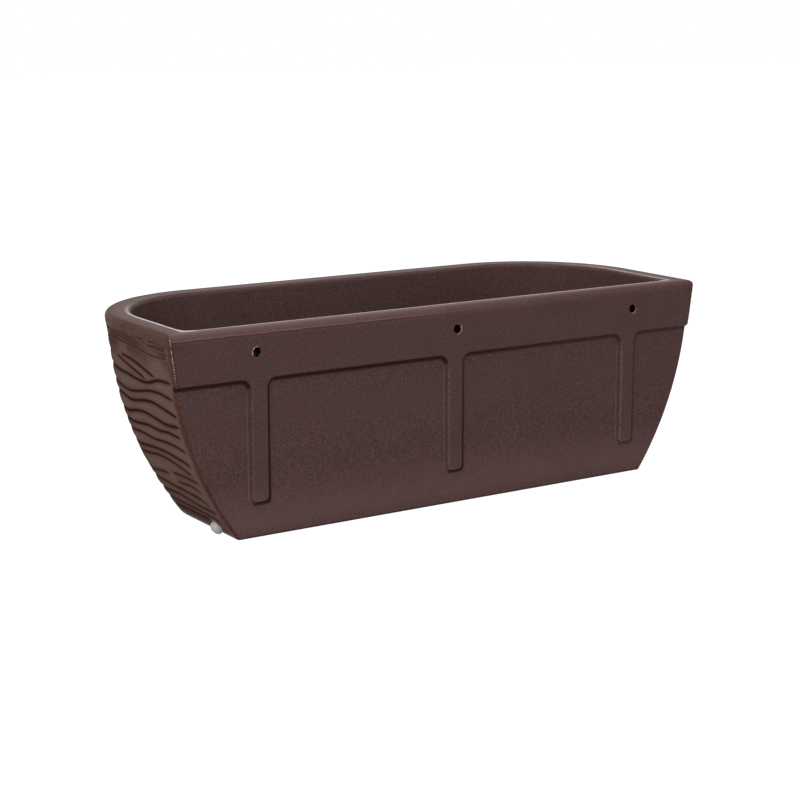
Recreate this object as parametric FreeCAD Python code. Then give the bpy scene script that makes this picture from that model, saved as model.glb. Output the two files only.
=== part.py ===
"""Window box planter: a double-skinned moulded body and its push-in drain plug.

Millimetres. X runs along the length, the back that goes against the wall or sill
faces +Y, the curved decorative front faces -Y, and Z is up from the base.
Run from the build folder: it writes one STEP file for each piece into parts/.
"""
import FreeCAD, Part

import math
import os

V = FreeCAD.Vector
os.makedirs("parts", exist_ok=True)

# ---------------------------------------------------------------- body, outside
LENGTH = 711.2            # over the rim, end to end
DEPTH = 275.0             # over the rim, front to back
HEIGHT = 228.6            # base to rim
CORNER_R = 153.0          # front corners, seen from above, at the rim
BAND_H = 54.0             # plain straight band at the top of every wall
BAND_LEAN = 7.0           # how far the band leans in from the rim to its lower edge
BASE_INSET = 78.2         # how far the wall's foot sits in from the rim
RIM_R_OUT = 6.0           # round on the rim's outer edge
BASE_R = 3.0              # round on the foot of the front and the ends
BACK_CORNER_R = 4.0       # round on the upright corners of the back
PANEL_EDGE_R = 2.0        # round where the back's band and ribs turn in to the sunk panel

# ---------------------------------------------------------------- carved field
# The ends and the front carry carved ripples. Here the field that they fill is sunk
# evenly, with a plain margin left round it and a plain pad under the drain plug.
FIELD_DEPTH = 1.6
FIELD_DROP = 12.0         # margin under the rim
FIELD_FOOT_Z = 5.0        # margin above the base
FIELD_BACK = 12.0         # margin in from the back face
FIELD_PAD_R = 10.0        # plain pad round the drain

# ---------------------------------------------------------------- back relief
RECESS_TOP = 4.7          # depth of the sunk back panel just under the band
RECESS_FOOT = 2.5         # depth of the same panel at the base
SHOULDER = 3.5            # height of the sloping step from band to panel
RIB_COUNT = 3
RIB_SPACING = 252.0       # between rib centres
RIB_W = 18.6              # width of a rib's face
RIB_FOOT_Z = 40.4         # height of a rib's lower end
RIB_DRAFT = 2.6           # how much wider a rib is at its root, each side
RIB_END_R = 5.0           # corner round at a rib's lower end
RIB_FLARE_R = 12.0        # round where a rib runs into the band
HOLE_D = 10.4             # bolt holes, drilled after moulding
HOLE_COUNT = 3
HOLE_SPACING = 256.0      # between hole centres
HOLE_SHIFT = -1.8         # the middle hole, from mid-length: the row misses the ribs a little
HOLE_DROP = 26.4          # from the rim down to the hole centres

# ---------------------------------------------------------------- body, inside
WALL_ENDS = 29.0          # rim edge to planting hollow, ends and front
WALL_BACK = 22.0          # the same at the back
BACK_LEAN = 8.0           # how far the hollow's back wall comes forward to the base
FLOOR = 5.0               # thickness under the planting hollow
SKIN = 5.0                # each moulded skin round the air gap, before any carving
HOLLOW_BACK_R = 16.0      # upright back corners of the hollow
HOLLOW_FOOT_R = 10.0      # round between the hollow's walls and its floor
RIM_R_IN = 5.0            # round on the rim's inner edge
BOSS_R = 13.0             # solid column round each bolt hole, where the skins meet

# ---------------------------------------------------------------- drain and plug
DRAIN_FROM_BACK = 38.0    # drain centre, in from the back face
DRAIN_Z = 8.6             # drain centre height, on the end wall's outer face
DRAIN_SKIN = 6.0          # wall left between the drain pocket and the outside
POCKET_W = 32.0           # drain pocket, forward from the hollow's back wall
POCKET_TOP_Z = 34.0       # roof of the drain pocket
BORE_D = 9.0              # drain hole
BORE_FIT = 0.06           # clearance round the plug's shank, on the radius
HEAD_D = 15.4             # plug head
HEAD_H = 7.0              # plug head, from its seat to its crown
HEAD_EDGE_R = 5.4         # round from the head's side over to its crown
HEAD_SEAT_GAP = 0.3       # head clear of the wall when the plug is home
SHANK_PAST = 6.0          # shank inside the pocket, past the wall
SHANK_TAPER = 2.0         # lead-in at the shank's tip
TIP_D = 6.0               # shank's tip

BACK_Y = DEPTH / 2.0      # the back face
HOLE_Z = HEIGHT - HOLE_DROP
BAND_Z = HEIGHT - BAND_H  # the band's lower edge
RIB_X = [(index - (RIB_COUNT - 1) / 2.0) * RIB_SPACING for index in range(RIB_COUNT)]
HOLE_X = [HOLE_SHIFT + (index - (HOLE_COUNT - 1) / 2.0) * HOLE_SPACING for index in range(HOLE_COUNT)]
OVER = 20.0               # how far cutting solids run past what they cut
BEND = math.sqrt(0.5)     # places the middle point of a quarter round

# The wall's outline: straight through the band, then one arc down to the base
# that leaves the band without a kink.
LEAN = math.atan2(BAND_LEAN, BAND_H)
CHORD = math.hypot(BAND_Z, BASE_INSET - BAND_LEAN)
CHORD_LEAN = math.atan2(BASE_INSET - BAND_LEAN, BAND_Z)
FOOT_LEAN = 2.0 * CHORD_LEAN - LEAN
WALL_R = CHORD / (2.0 * math.sin((FOOT_LEAN - LEAN) / 2.0))
ARC_IN = BAND_LEAN + WALL_R * math.cos(LEAN)        # arc centre, in from the rim
ARC_Z = BAND_Z + WALL_R * math.sin(LEAN)            # arc centre height

# Rounding a leaning wall's rim takes a little off the overall size, so the sharp
# edges that it is cut from stand this much further out.
RIM_LOSS = RIM_R_OUT * (math.tan(LEAN) + 1.0 / math.cos(LEAN) - 1.0)
END_X = LENGTH / 2.0 + RIM_LOSS          # the ends' sharp rim edge
FRONT_Y = -DEPTH / 2.0 - RIM_LOSS        # the front's sharp rim edge
AXIS_X = END_X - CORNER_R                # upright axes that the front corners turn on
AXIS_Y = FRONT_Y + CORNER_R


def inset_at(z, skin):
    """How far in from the rim the wall stands at height z, `skin` under its face."""
    radius = WALL_R - skin
    if z >= ARC_Z - radius * math.sin(LEAN):
        return skin / math.cos(LEAN) + (HEIGHT - z) * math.tan(LEAN)
    return ARC_IN - math.sqrt(radius ** 2 - (ARC_Z - z) ** 2)


def wall_section(z_low, z_high, skin, place):
    """Upright face from the wall's outline in to the corner axis line."""
    radius = WALL_R - skin
    z_tangent = ARC_Z - radius * math.sin(LEAN)
    z_middle = (z_tangent + z_low) / 2.0
    top = place(inset_at(z_high, skin), z_high)
    tangent = place(inset_at(z_tangent, skin), z_tangent)
    middle = place(inset_at(z_middle, skin), z_middle)
    foot = place(inset_at(z_low, skin), z_low)
    axis_low = place(CORNER_R, z_low)
    axis_high = place(CORNER_R, z_high)
    edges = [
        Part.makeLine(top, tangent),
        Part.Arc(tangent, middle, foot).toShape(),
        Part.makeLine(foot, axis_low),
        Part.makeLine(axis_low, axis_high),
        Part.makeLine(axis_high, top),
    ]
    return Part.Face(Part.Wire(edges))


def tub(z_low, z_high, skin, back_y):
    """Solid filling the D-shaped tub, `skin` inside its walls, as far as back_y."""
    pieces = []
    for side in (-1.0, 1.0):
        def on_end(inset, z, side=side):
            return V(side * (END_X - inset), AXIS_Y, z)

        end_face = wall_section(z_low, z_high, skin, on_end)
        pieces.append(end_face.extrude(V(0, back_y - AXIS_Y, 0)))
        pieces.append(end_face.revolve(V(side * AXIS_X, AXIS_Y, 0), V(0, 0, 1), -side * 90.0))

    def on_front(inset, z):
        return V(-AXIS_X, FRONT_Y + inset, z)

    front_face = wall_section(z_low, z_high, skin, on_front)
    pieces.append(front_face.extrude(V(2.0 * AXIS_X, 0, 0)))
    pieces.append(Part.makeBox(2.0 * AXIS_X, back_y - AXIS_Y, z_high - z_low, V(-AXIS_X, AXIS_Y, z_low)))
    solid = pieces[0].fuse(pieces[1:]).removeSplitter()
    return solid.Solids[0] if solid.Solids else solid


def slab_along_x(points):
    """Long bar whose end shape is given as (y, z) points."""
    corners = [V(-LENGTH, y, z) for y, z in points]
    wire = Part.makePolygon(corners + [corners[0]])
    return Part.Face(wire).extrude(V(2.0 * LENGTH, 0, 0))


def panel_outline(depth):
    """Outline of the sunk back panel at a depth under the back face, ribs left out."""
    share = depth / RECESS_TOP
    grow = RIB_DRAFT * share
    top = BAND_Z - SHOULDER * share
    half = RIB_W / 2.0 + grow
    flare = RIB_FLARE_R - grow
    end_r = RIB_END_R + grow
    foot = RIB_FOOT_Z - grow
    y = BACK_Y - depth
    edges = []
    last = V(-LENGTH, y, top)
    start = last
    for x in RIB_X:
        path = [
            ("line", (x - half - flare, top)),
            ("arc", (x - half - flare * (1 - BEND), top - flare * (1 - BEND)), (x - half, top - flare)),
            ("line", (x - half, foot + end_r)),
            ("arc", (x - half + end_r * (1 - BEND), foot + end_r * (1 - BEND)), (x - half + end_r, foot)),
            ("line", (x + half - end_r, foot)),
            ("arc", (x + half - end_r * (1 - BEND), foot + end_r * (1 - BEND)), (x + half, foot + end_r)),
            ("line", (x + half, top - flare)),
            ("arc", (x + half + flare * (1 - BEND), top - flare * (1 - BEND)), (x + half + flare, top)),
        ]
        for step in path:
            end = V(step[-1][0], y, step[-1][1])
            if step[0] == "line":
                edges.append(Part.makeLine(last, end))
            else:
                via = V(step[1][0], y, step[1][1])
                edges.append(Part.Arc(last, via, end).toShape())
            last = end
    for x, z in ((LENGTH, top), (LENGTH, -OVER), (-LENGTH, -OVER)):
        end = V(x, y, z)
        edges.append(Part.makeLine(last, end))
        last = end
    edges.append(Part.makeLine(last, start))
    return Part.Wire(edges)


def edges_where(shape, test):
    """Edges whose every sampled point passes the test."""
    found = []
    for edge in shape.Edges:
        first, last = edge.ParameterRange
        points = [edge.valueAt(first + (last - first) * k / 6.0) for k in range(7)]
        if all(test(p) for p in points):
            found.append(edge)
    return found


def near(a, b, slack=0.02):
    return abs(a - b) < slack


# ---------------------------------------------------------------- outer shape
shell = tub(0.0, HEIGHT, 0.0, BACK_Y)

# the sunk panel: its sides slope, and its floor leans out towards the base
cutter = Part.makeLoft([panel_outline(-1.0), panel_outline(RECESS_TOP + 1.0)], True, True)
lean_per_mm = (RECESS_TOP - RECESS_FOOT) / BAND_Z
panel_low = RECESS_FOOT - lean_per_mm * OVER
panel_high = RECESS_TOP + lean_per_mm * OVER
cutter = cutter.common(slab_along_x([
    (BACK_Y + OVER, -OVER),
    (BACK_Y + OVER, BAND_Z + OVER),
    (BACK_Y - panel_high, BAND_Z + OVER),
    (BACK_Y - panel_low, -OVER),
]))
shell = shell.cut(cutter).removeSplitter()

# rounds on the outside: the upright corners first, because the others run into them
upright = edges_where(shell, lambda p: (
    p.y > BACK_Y - RECESS_TOP - 0.2
    and near(abs(p.x), END_X - inset_at(p.z, 0.0), 0.05)
))
shell = shell.makeFillet(BACK_CORNER_R, upright)
panel_edge = edges_where(shell, lambda p: (
    near(p.y, BACK_Y)
    and (p.z < BAND_Z or near(p.z, BAND_Z))
))
shell = shell.makeFillet(PANEL_EDGE_R, panel_edge)
rim_loop = edges_where(shell, lambda p: near(p.z, HEIGHT))
shell = shell.makeFillet(RIM_R_OUT, rim_loop)
foot_edges = edges_where(shell, lambda p: near(p.z, 0.0) and p.y < BACK_Y - RECESS_FOOT - 0.5)
shell = shell.makeFillet(BASE_R, foot_edges)

# ---------------------------------------------------------------- drain place
foot_slope = math.asin((ARC_Z - DRAIN_Z) / WALL_R)
outward = V(math.cos(foot_slope), 0, -math.sin(foot_slope))
drain_y = BACK_Y - DRAIN_FROM_BACK
drain_face = V(END_X - inset_at(DRAIN_Z, 0.0), drain_y, DRAIN_Z)


def along_drain(distance):
    """Point on the drain's axis, a distance out from the wall's face."""
    return drain_face + outward * distance


# ---------------------------------------------------------------- carved field
field_top = HEIGHT - FIELD_DROP
field = tub(FIELD_FOOT_Z, field_top, -FIELD_DEPTH, BACK_Y - FIELD_BACK)
field = field.cut(tub(FIELD_FOOT_Z - BASE_R, field_top + FIELD_DROP, FIELD_DEPTH, BACK_Y))
field = field.cut(Part.makeCylinder(FIELD_PAD_R, 2.0 * OVER, along_drain(-OVER), outward))
shell = shell.cut(field)

# ---------------------------------------------------------------- planting hollow
hollow = tub(FLOOR, HEIGHT, WALL_ENDS, BACK_Y)
hollow_back = slab_along_x([
    (-LENGTH, 0.0),
    (-LENGTH, HEIGHT),
    (BACK_Y - WALL_BACK, HEIGHT),
    (BACK_Y - WALL_BACK - BACK_LEAN, 0.0),
])
hollow = hollow.common(hollow_back).removeSplitter()


def back_of_hollow(z):
    return BACK_Y - WALL_BACK - BACK_LEAN * (1.0 - z / HEIGHT)


hollow_corners = edges_where(hollow, lambda p: (
    near(p.y, back_of_hollow(p.z), 0.05)
    and near(abs(p.x), END_X - inset_at(p.z, WALL_ENDS), 0.05)
))
hollow = hollow.makeFillet(HOLLOW_BACK_R, hollow_corners)
hollow_foot = edges_where(hollow, lambda p: near(p.z, FLOOR))
hollow = hollow.makeFillet(HOLLOW_FOOT_R, hollow_foot)
hollow = hollow.Solids[0]

body = shell.cut(hollow)
inner_rim = edges_where(body, lambda p: (
    near(p.z, HEIGHT)
    and abs(p.x) < END_X - WALL_ENDS + 1.0
    and FRONT_Y + WALL_ENDS - 1.0 < p.y < BACK_Y - WALL_BACK + 1.0
))
body = body.makeFillet(RIM_R_IN, inner_rim)

# ---------------------------------------------------------------- closed air gap
# The wall is two skins with air between them, except where they are joined: round
# each bolt hole, and round the drain pocket.
gap_low = FLOOR
gap_high = HEIGHT - SKIN
gap_outside = tub(gap_low, gap_high, SKIN, BACK_Y - RECESS_TOP - SKIN)
gap_inside = tub(gap_low - OVER, gap_high + OVER, WALL_ENDS - SKIN, BACK_Y)
gap_inside = gap_inside.common(slab_along_x([
    (-LENGTH, -OVER),
    (-LENGTH, HEIGHT + OVER),
    (back_of_hollow(HEIGHT + OVER) + SKIN, HEIGHT + OVER),
    (back_of_hollow(-OVER) + SKIN, -OVER),
]))
gap = gap_outside.cut(gap_inside)
for x in HOLE_X:
    gap = gap.cut(Part.makeCylinder(BOSS_R, DEPTH, V(x, BACK_Y - DEPTH / 2.0, HOLE_Z), V(0, 1, 0)))

# ---------------------------------------------------------------- drain pocket and bore
# The pocket lowers the hollow into the end wall so that only one skin is left there.
pocket_in_x = END_X - inset_at(POCKET_TOP_Z, WALL_ENDS) - OVER


def pocket_block(grow):
    """Box round the drain pocket, `grow` wider and taller than the pocket."""
    return Part.makeBox(
        LENGTH, POCKET_W + 2.0 * grow, POCKET_TOP_Z + grow + OVER,
        V(pocket_in_x, back_of_hollow(0.0) - POCKET_W - grow, -OVER))


pocket = tub(FLOOR, HEIGHT, DRAIN_SKIN, BACK_Y).common(pocket_block(0.0))
gap = gap.cut(pocket_block(SKIN))
bore_r = BORE_D / 2.0
bore = Part.makeCylinder(bore_r, 2.0 * OVER, along_drain(-OVER), outward)

body = body.cut(gap).cut(pocket).cut(bore)
for x in HOLE_X:
    body = body.cut(Part.makeCylinder(HOLE_D / 2.0, DEPTH / 2.0, V(x, OVER / 2.0, HOLE_Z), V(0, 1, 0)))
body = body.Solids[0]

# ---------------------------------------------------------------- drain plug
shank_r = bore_r - BORE_FIT
shank_end = -DRAIN_SKIN - SHANK_PAST
head_r = HEAD_D / 2.0
side = V(0, 1, 0)


def plug_point(radius, distance):
    return along_drain(distance) + side * radius


seat = HEAD_SEAT_GAP
crown = seat + HEAD_H
shoulder_z = crown - HEAD_EDGE_R
profile = [
    Part.makeLine(plug_point(0, shank_end), plug_point(TIP_D / 2.0, shank_end)),
    Part.makeLine(plug_point(TIP_D / 2.0, shank_end), plug_point(shank_r, shank_end + SHANK_TAPER)),
    Part.makeLine(plug_point(shank_r, shank_end + SHANK_TAPER), plug_point(shank_r, seat)),
    Part.makeLine(plug_point(shank_r, seat), plug_point(head_r, seat)),
    Part.makeLine(plug_point(head_r, seat), plug_point(head_r, shoulder_z)),
    Part.Arc(
        plug_point(head_r, shoulder_z),
        plug_point(head_r - HEAD_EDGE_R * (1 - BEND), crown - HEAD_EDGE_R * (1 - BEND)),
        plug_point(head_r - HEAD_EDGE_R, crown)).toShape(),
    Part.makeLine(plug_point(head_r - HEAD_EDGE_R, crown), plug_point(0, crown)),
    Part.makeLine(plug_point(0, crown), plug_point(0, shank_end)),
]
plug = Part.Face(Part.Wire(profile)).revolve(drain_face, outward, 360.0)
plug = plug.Solids[0]

# ---------------------------------------------------------------- files
for name, solid in (("planter_body", body), ("drain_plug", plug)):
    solid.exportStep("parts/" + name + ".step")
    box = solid.BoundBox
    print(name, "valid", solid.isValid(), "solids", len(solid.Solids), "shells", len(solid.Shells),
          "faces", len(solid.Faces), "volume %.0f" % solid.Volume,
          "x %.1f..%.1f y %.1f..%.1f z %.2f..%.2f" % (
              box.XMin, box.XMax, box.YMin, box.YMax, box.ZMin, box.ZMax))
print("shared volume", round(body.common(plug).Volume, 4))
print("drain face", tuple(round(c, 4) for c in drain_face))
print("drain axis", tuple(round(c, 6) for c in outward))
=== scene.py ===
# %% [markdown]
# # Window box planter
#
# The object is a rotationally moulded window box seen from behind: a flat ribbed
# back with three bolt holes, a wide rounded rim, and ends and a front that curve in
# to a smaller base and carry carved ripples. A pale rubber plug closes the drain at
# the foot of one end. The moulded body and the plug arrive ready modelled at real
# size. This lesson dresses them: it adds the carved ripples, the small marks of
# moulding and drilling, the plastic and rubber finishes, a camera and soft light.

# %% Load the modelled pieces
import math
import random

import bmesh
import bpy
import numpy as np
from mathutils import Matrix, Vector, noise


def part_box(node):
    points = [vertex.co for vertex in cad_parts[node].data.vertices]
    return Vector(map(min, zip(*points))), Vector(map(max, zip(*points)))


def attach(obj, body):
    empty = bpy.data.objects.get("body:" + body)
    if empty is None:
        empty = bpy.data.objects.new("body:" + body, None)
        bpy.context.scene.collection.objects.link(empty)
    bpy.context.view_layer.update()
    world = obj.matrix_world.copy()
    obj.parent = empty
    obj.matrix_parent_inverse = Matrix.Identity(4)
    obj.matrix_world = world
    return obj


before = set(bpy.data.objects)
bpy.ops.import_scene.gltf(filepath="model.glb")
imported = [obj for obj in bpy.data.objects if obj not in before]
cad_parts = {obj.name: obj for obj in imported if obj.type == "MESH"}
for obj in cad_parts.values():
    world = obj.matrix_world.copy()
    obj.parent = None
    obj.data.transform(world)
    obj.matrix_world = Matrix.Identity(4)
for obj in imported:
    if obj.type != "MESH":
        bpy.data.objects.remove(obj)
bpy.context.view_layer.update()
body_low, body_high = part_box("planter_body")
print("body", [round(c, 4) for c in body_low], [round(c, 4) for c in body_high])

# %% [markdown]
# ## The wall's own shape
#
# Everything that lies on the outside wall has to follow it exactly. It could be
# shrink-wrapped on to the body, but a wrap slides over edges, so the wall is written
# once here as a formula. From the rim a straight band leans in a little, then one
# long arc carries the wall down to the base. Seen from above the outline is a D:
# straight ends, two big round corners and a straight front.

# %% Sizes of the wall, in metres
MM = 0.001
BACK_Y = body_high[1]
HEIGHT = body_high[2]
BAND_H = 54.0 * MM  # the straight band under the rim
BAND_LEAN = 7.0 * MM  # how far in the band has leant at its lower edge
BASE_INSET = 78.2 * MM  # how far in from the rim the base stands
RIM_ROUND = 6.0 * MM
CORNER_R = 153.0 * MM  # front corners, at the rim

BAND_Z = HEIGHT - BAND_H
LEAN = math.atan2(BAND_LEAN, BAND_H)
CHORD = math.hypot(BAND_Z, BASE_INSET - BAND_LEAN)
FOOT_LEAN = 2.0 * math.atan2(BASE_INSET - BAND_LEAN, BAND_Z) - LEAN
WALL_R = CHORD / (2.0 * math.sin((FOOT_LEAN - LEAN) / 2.0))
ARC_IN = BAND_LEAN + WALL_R * math.cos(LEAN)
ARC_Z = BAND_Z + WALL_R * math.sin(LEAN)
# the rim's round takes a little off the length, so the sharp edge lies further out
RIM_LOSS = RIM_ROUND * (math.tan(LEAN) + 1.0 / math.cos(LEAN) - 1.0)
END_X = body_high[0] + RIM_LOSS
FRONT_Y = body_low[1] - RIM_LOSS
AXIS_X = END_X - CORNER_R  # upright axis of a front corner
AXIS_Y = FRONT_Y + CORNER_R
print("wall arc radius", round(WALL_R, 4), "lean at the base", round(math.degrees(FOOT_LEAN), 1))


# %% How far in the wall stands, and how it leans
def wall_inset(z):
    """How far in from the rim's sharp edge the wall stands at height z."""
    if z >= BAND_Z:
        return (HEIGHT - z) * math.tan(LEAN)
    return ARC_IN - math.sqrt(WALL_R ** 2 - (ARC_Z - z) ** 2)


def wall_slope(z):
    """The wall's lean from upright at height z, in radians."""
    if z >= BAND_Z:
        return LEAN
    return math.asin((ARC_Z - z) / WALL_R)


print("inset at the base", round(wall_inset(0.0) / MM, 1), "mm")

# %% A point on the wall
END_RUN = BACK_Y - AXIS_Y  # straight part of an end
CORNER_RUN = CORNER_R * math.pi / 2.0  # a front corner, along the rim
HALF_RUN = AXIS_X + CORNER_RUN + END_RUN  # from mid front to a back corner


def on_wall(run, z, out):
    """Point `run` along the wall from mid front towards +X, and `out` from its face."""
    side = 1.0 if run >= 0.0 else -1.0
    along = abs(run)
    slope = wall_slope(z)
    inset = wall_inset(z) - out * math.cos(slope)
    height = z - out * math.sin(slope)
    if along <= AXIS_X:
        return Vector((side * along, FRONT_Y + inset, height))
    if along <= AXIS_X + CORNER_RUN:
        turn = (along - AXIS_X) / CORNER_R
        radius = CORNER_R - inset
        x = AXIS_X + radius * math.sin(turn)
        return Vector((side * x, AXIS_Y - radius * math.cos(turn), height))
    return Vector((side * (END_X - inset), AXIS_Y + along - AXIS_X - CORNER_RUN, height))


print("half way round", round(HALF_RUN, 4))

# %% [markdown]
# ## Where the ripples run
#
# The ends and front carry wavy grooves like ripples left in sand: narrow cuts about
# 3 mm wide that run level round the planter, rise and fall together, stop, start and
# split. A noise texture could give waves, but not cuts that begin and end, so each
# groove here is one stroke with a start, an end and a height that changes along it.
# On the end that the photograph shows, the heights are the real ones, taken every
# 25 mm from the back corner. Everywhere else, rows of strokes follow the same
# swell with their own breaks.

# %% Grooves on the end with the drain
STATIONS = [20.0, 45.0, 70.0, 95.0, 120.0, 145.0]  # mm from the back, along the wall
# each groove: where it starts and ends (mm from the back), then its height at each station
END_GROOVES = [
    (66, 178, [214, 214, 215, 218, 219, 218]),
    (14, 58, [217, 216, 214, 214, 214, 214]),
    (16, 62, [210, 211, 209, 208, 208, 208]),
    (14, 330, [202, 200, 202, 204, 205, 207]),
    (52, 127, [170, 175, 181, 187, 190, 191]),
    (75, 141, [160, 164, 170, 176, 182, 189]),
    (14, 230, [176, 175, 167, 167, 170, 171]),
    (16, 300, [158, 161, 159, 154, 150, 153]),
    (15, 210, [140, 144, 147, 144, 139, 143]),
    (17, 280, [128, 125, 128, 131, 128, 123]),
    (20, 190, [115, 117, 114, 116, 113, 112]),
    (18, 350, [100, 103, 102, 100, 103, 101]),
    (20, 240, [84, 87, 89, 89, 87, 85]),
    (27, 180, [71, 75, 80, 81, 78, 76]),
    (19, 80, [64, 65, 64, 62, 62, 62]),
    (92, 260, [60, 60, 60, 60, 57, 55]),
    (24, 78, [50, 56, 53, 52, 52, 52]),
    (40, 200, [37, 40, 43, 43, 45, 45]),
    (22, 66, [35, 43, 41, 40, 40, 40]),
    (17, 300, [29, 28, 30, 33, 32, 31]),
    (20, 220, [17, 19, 20, 20, 20, 20]),
    (52, 140, [13, 13, 12, 12, 12, 12]),
]
print("grooves read on the end", len(END_GROOVES))

# %% Rows that rise and fall together
ROW_Z = [13.0, 21.0, 31.0, 41.0, 51.0, 62.0, 74.0, 87.0,
         101.0, 115.0, 128.0, 142.0, 157.0, 172.0, 188.0, 204.0]  # mm
# each wave: height and length (mm), the climb (mm) that shifts it one length, and phase
WAVES = [(4.6, 148.0, 105.0, 0.0), (2.4, 67.0, -88.0, 1.1), (3.0, 391.0, 260.0, 0.4)]
CALM_SHARE = 0.35  # what is left of the swell at the base and the rim
CALM_BELOW = 90.0  # mm; under this the rows grow level
CALM_TOP, CALM_OVER = 226.0, 26.0  # mm; level again at the top, over this much


def swell(run_mm, z_mm):
    """How far, in mm, the rows of grooves rise and fall together."""
    waves = sum(tall * np.sin(2.0 * math.pi * (run_mm / length + z_mm / climb) + phase)
                for tall, length, climb, phase in WAVES)
    free = min(1.0, z_mm / CALM_BELOW) * min(1.0, (CALM_TOP - z_mm) / CALM_OVER)
    return (CALM_SHARE + (1.0 - CALM_SHARE) * free) * waves


def row_height(row_z, run_mm):
    """Height (mm) of a row of grooves at a place along the wall."""
    return row_z + swell(run_mm, row_z)


print("rows", len(ROW_Z), "swell at mid front", round(float(swell(0.0, ROW_Z[8])), 1), "mm")

# %% Strokes on the end with the drain
SOFT_STEP = 9.0  # mm each way over which a read height is smoothed
READ_TO, EASE_OVER = 140.0, 90.0  # mm from the back; then over to the row's swell
LONG_REACH = 150  # mm; a groove that goes further runs on out of view
REACH_SPREAD = 12.0  # mm either way where such a groove stops
END_DEPTHS, END_WIDTHS = (0.85, 1.1), (0.9, 1.15)  # shares of the usual ones
chance = random.Random(23)
half_mm = HALF_RUN / MM
strokes = []  # (start run, end run, height function, depth, half width)


def add_stroke(start, end, height_at, depth, half_w):
    """Note one groove; depth and half width are shares of the usual ones."""
    strokes.append((start, end, height_at, depth, half_w))


def end_groove_height(row_z, heights):
    """Follows the heights read on the end, then eases over to the row's own swell."""
    def height_at(run_mm):
        from_back = half_mm - run_mm
        read = np.interp(from_back, STATIONS, heights)
        soft = sum(np.interp(from_back + step, STATIONS, heights)
                   for step in (-SOFT_STEP, SOFT_STEP)) / 2.0
        ease = np.clip((from_back - READ_TO) / EASE_OVER, 0.0, 1.0)
        ease = ease * ease * (3.0 - 2.0 * ease)
        return (0.5 * read + 0.5 * soft) * (1.0 - ease) + row_height(row_z, run_mm) * ease
    return height_at


for first, last, heights in END_GROOVES:
    middle = sum(heights) / len(heights)
    row_z = min(ROW_Z, key=lambda z: abs(z - middle))
    reach = last + chance.uniform(-REACH_SPREAD, REACH_SPREAD) if last > LONG_REACH else last
    add_stroke(half_mm - reach, half_mm - first, end_groove_height(row_z, heights),
               chance.uniform(*END_DEPTHS), chance.uniform(*END_WIDTHS))
print("strokes on the end", len(strokes))

# %% Strokes on the rest of the wall
LENGTHS = (90.0, 330.0)  # mm, shortest and longest stroke
GAPS = (-14.0, 12.0)  # mm between two strokes; under 0 they overlap
FIRST_GAP = (2.0, 14.0)  # mm between an end groove and the next stroke
CORNER_GAP = (13.0, 24.0)  # mm left plain at the far back corner
START_PULL, END_PULL = (2.0, 6.5), (1.0, 6.5)  # mm towards a neighbouring row
DEPTHS, WIDTHS = (0.75, 1.1), (0.85, 1.2)
PULL_OVER = 26.0  # mm along the wall over which a pull fades
SHORTEST = 22.0  # mm; anything shorter is left out
SAME_ROW = 7.0  # mm; an end groove this near a row is the row's own
ROW_START = 165.0  # mm from the back where a row without one starts
ROW_STOP, LAST_START = 40.0, 26.0  # mm from the far back corner where a row is done


def wandering(row_z, drift_from, drift_to, start, end):
    """A row's swell plus a drift at the stroke's two ends, where it nears its neighbour."""
    def height_at(run_mm):
        share = np.clip((run_mm - start) / (end - start), 0.0, 1.0)
        near_start = np.exp(-((share * (end - start)) / PULL_OVER) ** 2)
        near_end = np.exp(-(((1.0 - share) * (end - start)) / PULL_OVER) ** 2)
        return row_height(row_z, run_mm) + drift_from * near_start + drift_to * near_end
    return height_at


for row_z in ROW_Z:
    near_ends = [half_mm - last for first, last, heights in END_GROOVES
                 if last > LONG_REACH and abs(sum(heights) / len(heights) - row_z) < SAME_ROW]
    finish = min(near_ends) - chance.uniform(*FIRST_GAP) if near_ends else half_mm - ROW_START
    while finish > -half_mm + ROW_STOP:
        start = max(finish - chance.uniform(*LENGTHS), -half_mm + chance.uniform(*CORNER_GAP))
        if finish - start > SHORTEST:
            pull = chance.choice((-1.0, 1.0))
            path = wandering(row_z, pull * chance.uniform(*START_PULL),
                             -pull * chance.uniform(*END_PULL), start, finish)
            add_stroke(start, finish, path, chance.uniform(*DEPTHS), chance.uniform(*WIDTHS))
        finish = start - chance.uniform(*GAPS)
        if start <= -half_mm + LAST_START:
            break
print("strokes with the rows", len(strokes))

# %% Short extra cuts between two rows, as on the end
EXTRA_CUTS = 16
FAR_MARGIN, DRAIN_MARGIN = 60.0, 190.0  # mm from the back kept free at either end
UPPER_ROWS = ROW_Z[9:]
LIFTS, EXTRA_LENGTHS, TILTS = (5.5, 8.5), (38.0, 80.0), (2.0, 5.0)  # mm
EXTRA_SHARE = 0.9  # of the usual depth and width

for _ in range(EXTRA_CUTS):
    start = chance.uniform(-half_mm + FAR_MARGIN, half_mm - DRAIN_MARGIN)
    row_z = chance.choice(UPPER_ROWS) + chance.uniform(*LIFTS)
    end = start + chance.uniform(*EXTRA_LENGTHS)
    tilt = chance.choice((-1.0, 1.0)) * chance.uniform(*TILTS)
    add_stroke(start, end, wandering(row_z, -tilt, tilt, start, end), EXTRA_SHARE, EXTRA_SHARE)
print("groove strokes", len(strokes))

# %% [markdown]
# ## Cutting the ripples
#
# A bump map would leave the outline smooth, and the real outline is notched, so the
# ripples are real geometry: fine grids laid over the wall, with every point set back
# by the depth of the nearest groove. A groove is a narrow round-bottomed cut in a
# wider, shallower trough, which leaves the faces between two grooves gently crowned.

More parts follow.
